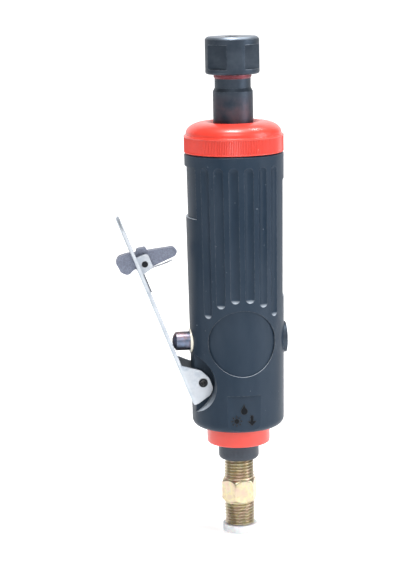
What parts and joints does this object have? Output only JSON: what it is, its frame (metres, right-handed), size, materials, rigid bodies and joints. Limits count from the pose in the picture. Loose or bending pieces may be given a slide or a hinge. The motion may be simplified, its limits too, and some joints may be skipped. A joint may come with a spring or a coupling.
{
  "type": "die grinder",
  "caption": "Straight pneumatic die grinder: collet spindle, knurled front cap, fluted grip, hinged safety throttle lever with lock, rear exhaust ring and threaded hose nipple.",
  "frame": {"origin": "centre of the collet nut's front face, on the spindle axis; the collet's mouth is flush with it", "axes": "+Z along the spindle, out of the collet; the throttle lever is on the -X side and the speed regulator on the +X side; the blank round panel and the small text panel face -Y"},
  "size_m": [0.0758, 0.0444, 0.2246],
  "materials": {
    "grip": "satin moulded composite",
    "red_plastic": "glossy",
    "black_oxide": "black oxide",
    "housing_alloy": "machined",
    "bearing_steel": "ground and polished",
    "cast_plate": "machined",
    "rotor_steel": "ground",
    "vane_resin": "phenolic resin",
    "cage_brass": "pressed",
    "gasket_paper": "fibre gasket",
    "felt": "felt",
    "zinc_sheet": "bright zinc plate",
    "sintered_steel": "sintered, oiled",
    "spring_steel": "drawn wire",
    "yellow_zinc": "yellow passivated zinc",
    "black_steel": "black phosphate",
    "rubber_seal": "nitrile",
    "pale_nylon": "natural nylon",
    "clear_plastic": "translucent polyethylene",
    "screen_mesh": "perforated"
  },
  "bodies": {
    "housing": {"grip_shell": "grip", "motor_housing": "housing_alloy", "front_cap": "red_plastic", "front_plate": "cast_plate", "front_bearing_outer_ring": "bearing_steel", "rear_bearing_outer_ring": "bearing_steel", "cylinder": "cast_plate", "rear_plate": "cast_plate", "rear_gasket": "gasket_paper", "locating_pin": "spring_steel", "exhaust_ring": "red_plastic", "muffler_felt": "felt", "inlet_bushing": "black_steel", "inlet_oring": "rubber_seal", "inlet_screen": "screen_mesh", "hose_nipple": "yellow_zinc", "throttle_bushing": "pale_nylon", "valve_spring": "spring_steel", "lever_pin": "spring_steel"},
    "rotor": {"rotor": "rotor_steel", "vanes": "vane_resin", "collet_body": "black_oxide", "front_bearing_inner_ring": "bearing_steel", "rear_bearing_inner_ring": "bearing_steel", "rear_retaining_ring": "spring_steel"},
    "bearing_cages": {"front_bearing_balls": "cage_brass", "rear_bearing_balls": "cage_brass"},
    "collet": {"collet": "spring_steel"},
    "collet_nut": {"collet_nut": "black_oxide"},
    "lever": {"throttle_lever": "zinc_sheet", "lock_pin": "spring_steel", "lock_spring": "spring_steel"},
    "lock_lever": {"lock_lever": "sintered_steel"},
    "throttle": {"throttle_button": "sintered_steel", "throttle_stem": "rotor_steel", "valve_seal": "rubber_seal"},
    "speed_regulator": {"speed_regulator": "black_oxide", "regulator_oring": "rubber_seal"},
    "dust_plug": {"dust_plug": "clear_plastic"}
  },
  "joints": [
    {"name": "spindle_spin", "type": "hinge", "parent": "housing", "child": "rotor", "pos_m": [0, 0, -0.06], "axis": [0, 0, 1], "continuous": true},
    {"name": "cage_spin", "type": "hinge", "parent": "housing", "child": "bearing_cages", "pos_m": [0, 0, -0.06], "axis": [0, 0, 1], "continuous": true},
    {"name": "collet_release", "type": "slide", "parent": "rotor", "child": "collet", "axis": [0, 0, 1], "range_m": [0, 0.002]},
    {"name": "nut_turn", "type": "hinge", "parent": "collet", "child": "collet_nut", "pos_m": [0, 0, 0], "axis": [0, 0, 1], "range_deg": [0, 720]},
    {"name": "lever_press", "type": "hinge", "parent": "housing", "child": "lever", "pos_m": [-0.0167, 0, -0.153], "axis": [0, 1, 0], "range_deg": [0, 9.5], "stiffness_Nm_per_rad": 0.475, "springref_deg": -11.46},
    {"name": "lock_fold", "type": "hinge", "parent": "lever", "child": "lock_lever", "pos_m": [-0.04118, 0, -0.09899], "axis": [0, 1, 0], "range_deg": [0, 76], "stiffness_Nm_per_rad": 0.001, "springref_deg": -34.38, "deforming": ["lock_spring"]},
    {"name": "throttle_press", "type": "slide", "parent": "housing", "child": "throttle", "axis": [1, 0, 0], "range_m": [0, 0.0033], "deforming": ["valve_spring"]},
    {"name": "regulator_turn", "type": "hinge", "parent": "housing", "child": "speed_regulator", "pos_m": [0, 0, -0.1352], "axis": [1, 0, 0], "range_deg": [0, 90]},
    {"name": "plug_pull", "type": "slide", "parent": "housing", "child": "dust_plug", "axis": [0, 0, -1], "range_m": [0, 0.03]}
  ],
  "couplings": [
    {"joint": "cage_spin", "follows": "spindle_spin", "ratio": 0.369},
    {"joint": "nut_turn", "follows": "collet_release", "rad_per_m": 6283.2},
    {"joint": "lever_press", "follows": "throttle_press", "rad_per_m": 50.24},
    {"joint": "lock_fold", "follows": "throttle_press", "rad_per_m": 401.92}
  ]
}
